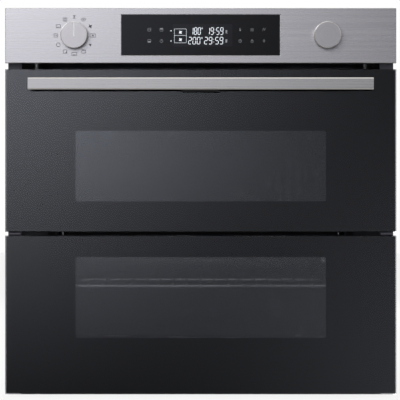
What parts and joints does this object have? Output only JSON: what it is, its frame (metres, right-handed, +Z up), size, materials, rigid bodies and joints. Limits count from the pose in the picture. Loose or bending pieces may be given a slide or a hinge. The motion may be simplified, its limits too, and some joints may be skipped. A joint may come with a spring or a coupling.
{
  "type": "built-in wall oven",
  "caption": "Built-in electric wall oven with a split drop-down glass door, a bar handle, a divided cavity with fans, racks and heaters, and a steel control panel with turning knobs.",
  "frame": {"origin": "middle of the whole oven's footprint, at the underside of the base plate", "axes": "+Z up, -Y towards the person in front of the oven, +X to the right seen from the front"},
  "size_m": [0.595, 0.613, 0.5905],
  "materials": {
    "casing": "galvanised sheet",
    "steel": "fine horizontal brushing",
    "frame": "satin dark grey enamel",
    "enamel": "glossy dark enamel",
    "chrome": "polished plate",
    "door_glass": "glossy, printed black on its back",
    "clear_glass": "clear",
    "display_glass": "glossy dark tint",
    "wool": "mineral fibre mat",
    "seal": "woven heat-proof cord, matte",
    "plastic": "matte black",
    "board": "green laminate",
    "motor": "bare stamped steel",
    "rod": "bright steel",
    "knob": "turned satin",
    "element": "dark oxidised tube"
  },
  "bodies": {
    "cabinet": {"air_duct": "casing", "base_plate": "casing", "blower_housing": "casing", "blower_motor": "motor", "bottom_element": "element", "casing_screws": "casing", "cavity_gasket": "seal", "cavity_shell": "enamel", "control_board": "board", "control_fascia": "steel", "convection_motors": "motor", "display_glass": "display_glass", "display_module": "plastic", "divider": "enamel", "divider_seal": "seal", "door_hinge_arms": "casing", "front_frame": "frame", "grill_element": "element", "hinge_receivers": "casing", "insulation": "wool", "lamp_bulbs": "clear_glass", "lamp_housings": "motor", "lamp_lenses": "clear_glass", "lower_fan_cover": "enamel", "panel_carrier": "plastic", "power_board": "board", "rear_cover": "casing", "ring_heaters": "element", "rotary_encoders": "plastic", "side_panel_left": "casing", "side_panel_right": "casing", "side_rack_left": "chrome", "side_rack_right": "chrome", "side_rack_studs": "chrome", "steam_flue": "casing", "temperature_probes": "chrome", "terminal_block": "plastic", "top_cover": "casing", "upper_fan_cover": "enamel", "wire_rack": "chrome"},
    "lower_door": {"lower_outer_glass": "door_glass", "lower_middle_glass": "clear_glass", "lower_inner_glass": "clear_glass", "lower_door_frame": "frame", "door_hinge_brackets": "casing", "split_hinges_lower": "frame"},
    "upper_door": {"upper_outer_glass": "door_glass", "upper_middle_glass": "clear_glass", "upper_inner_glass": "clear_glass", "upper_door_frame": "frame", "split_hinges_upper": "frame", "handle_bar": "steel", "handle_posts": "steel"},
    "lever": {"handle_lever": "plastic"},
    "rods": {"latch_rods": "rod"},
    "mode_knob_body": {"mode_knob": "knob"},
    "value_knob_body": {"value_knob": "knob"},
    "upper_fan_body": {"upper_fan": "motor"},
    "lower_fan_body": {"lower_fan": "motor"},
    "blower_rotor_body": {"blower_rotor": "motor"}
  },
  "joints": [
    {"name": "lower_door_hinge", "type": "hinge", "parent": "cabinet", "child": "lower_door", "pos_m": [0, -0.2495, 0.018], "axis": [1, 0, 0], "range_deg": [0, 90], "stiffness_Nm_per_rad": 8, "springref_deg": -20.05},
    {"name": "upper_door_hinge", "type": "hinge", "parent": "lower_door", "child": "upper_door", "pos_m": [0, -0.2603, 0.24715], "axis": [1, 0, 0], "range_deg": [0, 90], "stiffness_Nm_per_rad": 2.2, "springref_deg": -22.92},
    {"name": "lever_squeeze", "type": "hinge", "parent": "upper_door", "child": "lever", "pos_m": [0, -0.2905, 0.4792], "axis": [-1, 0, 0], "range_deg": [0, 10]},
    {"name": "latch_slide", "type": "slide", "parent": "upper_door", "child": "rods", "axis": [0, 0, -1], "range_m": [0, 0.012], "stiffness_N_per_m": 60, "springref_m": -0.02},
    {"name": "mode_knob_turn", "type": "hinge", "parent": "cabinet", "child": "mode_knob_body", "pos_m": [-0.1923, -0.2635, 0.54865], "axis": [0, -1, 0], "continuous": true},
    {"name": "value_knob_turn", "type": "hinge", "parent": "cabinet", "child": "value_knob_body", "pos_m": [0.1923, -0.2635, 0.54865], "axis": [0, -1, 0], "continuous": true},
    {"name": "upper_fan_spin", "type": "hinge", "parent": "cabinet", "child": "upper_fan_body", "pos_m": [0, 0.219, 0.34858], "axis": [0, -1, 0], "continuous": true},
    {"name": "lower_fan_spin", "type": "hinge", "parent": "cabinet", "child": "lower_fan_body", "pos_m": [0, 0.219, 0.15757], "axis": [0, -1, 0], "continuous": true},
    {"name": "blower_spin", "type": "hinge", "parent": "cabinet", "child": "blower_rotor_body", "pos_m": [0, 0.0825, 0.5145], "axis": [1, 0, 0], "continuous": true}
  ],
  "couplings": [
    {"joint": "lever_squeeze", "follows": "latch_slide", "rad_per_m": 14.5}
  ]
}
